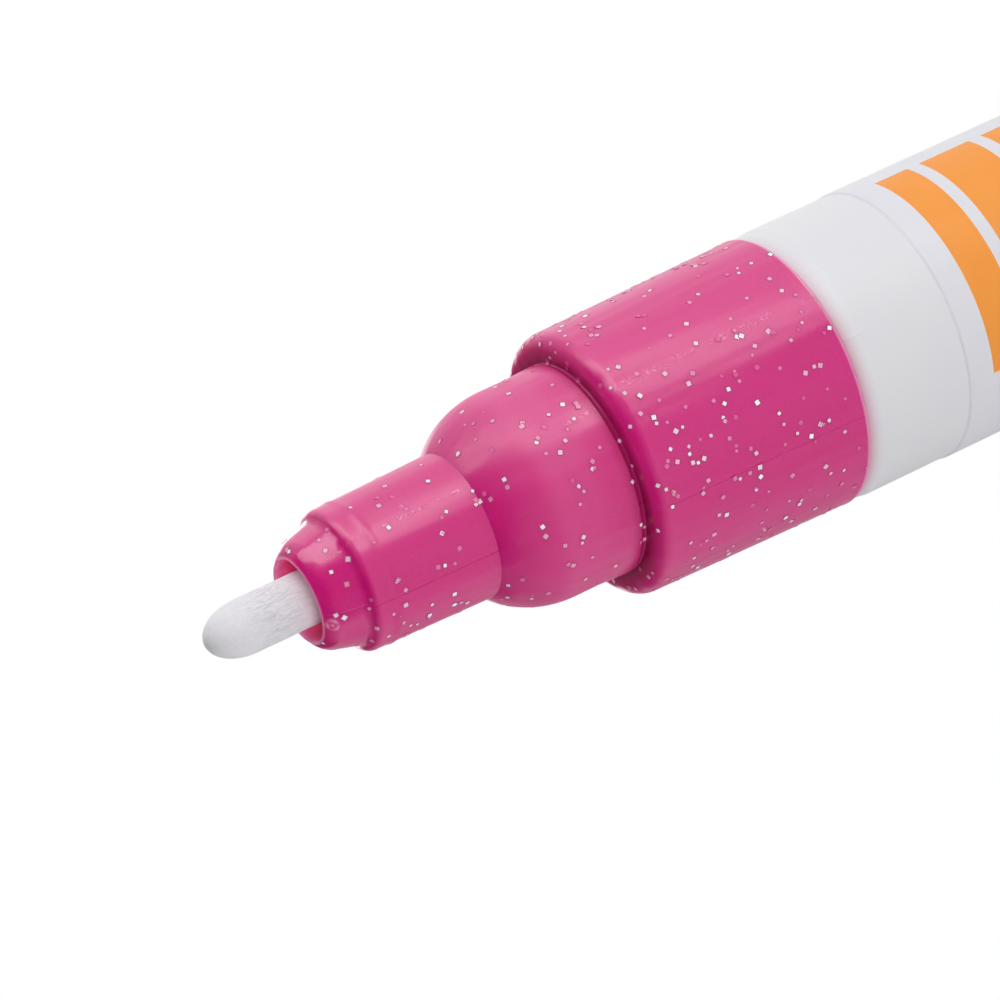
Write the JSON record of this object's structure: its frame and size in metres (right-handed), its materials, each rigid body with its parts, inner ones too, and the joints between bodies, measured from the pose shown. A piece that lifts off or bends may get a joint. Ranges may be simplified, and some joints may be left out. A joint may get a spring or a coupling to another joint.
{
  "type": "fabric marker",
  "caption": "Uncapped fabric paint marker: round barrel, glitter nose with stepped collar and cap seat, and a fibre nib that presses in against a spring valve.",
  "frame": {"origin": "centre of the flat tail face", "axes": "+Z along the marker's axis from the tail to the nib, +X towards the ends of the label's stripes"},
  "size_m": [0.0156, 0.0156, 0.1401],
  "materials": {
    "barrel_plastic": "satin moulded white",
    "tail_plastic": "moulded magenta",
    "label_film": "printed film, white with plain orange stripes",
    "glitter_plastic": "moulded magenta with glitter flakes",
    "nib_fibre": "bonded white fibre",
    "seat_rubber": "soft dark rubber",
    "valve_plastic": "natural moulded plastic",
    "spring_steel": "drawn stainless wire",
    "ball_steel": "polished stainless"
  },
  "bodies": {
    "marker_body": {"barrel": "barrel_plastic", "tail_plug": "tail_plastic", "label": "label_film", "front_section": "glitter_plastic", "valve_seat": "seat_rubber", "valve_casing": "valve_plastic", "valve_spring": "spring_steel"},
    "nib_and_stem": {"nib": "nib_fibre", "valve_stem": "valve_plastic"},
    "ball": {"mixing_ball": "ball_steel"}
  },
  "joints": [
    {"name": "nib_press", "type": "slide", "parent": "marker_body", "child": "nib_and_stem", "axis": [0, 0, -1], "range_m": [0, 0.002], "stiffness_N_per_m": 400, "springref_m": -0.003, "deforming": ["valve_spring"]},
    {"name": "ball_rattle", "type": "slide", "parent": "marker_body", "child": "ball", "axis": [0, 0, 1], "range_m": [0, 0.079]}
  ]
}
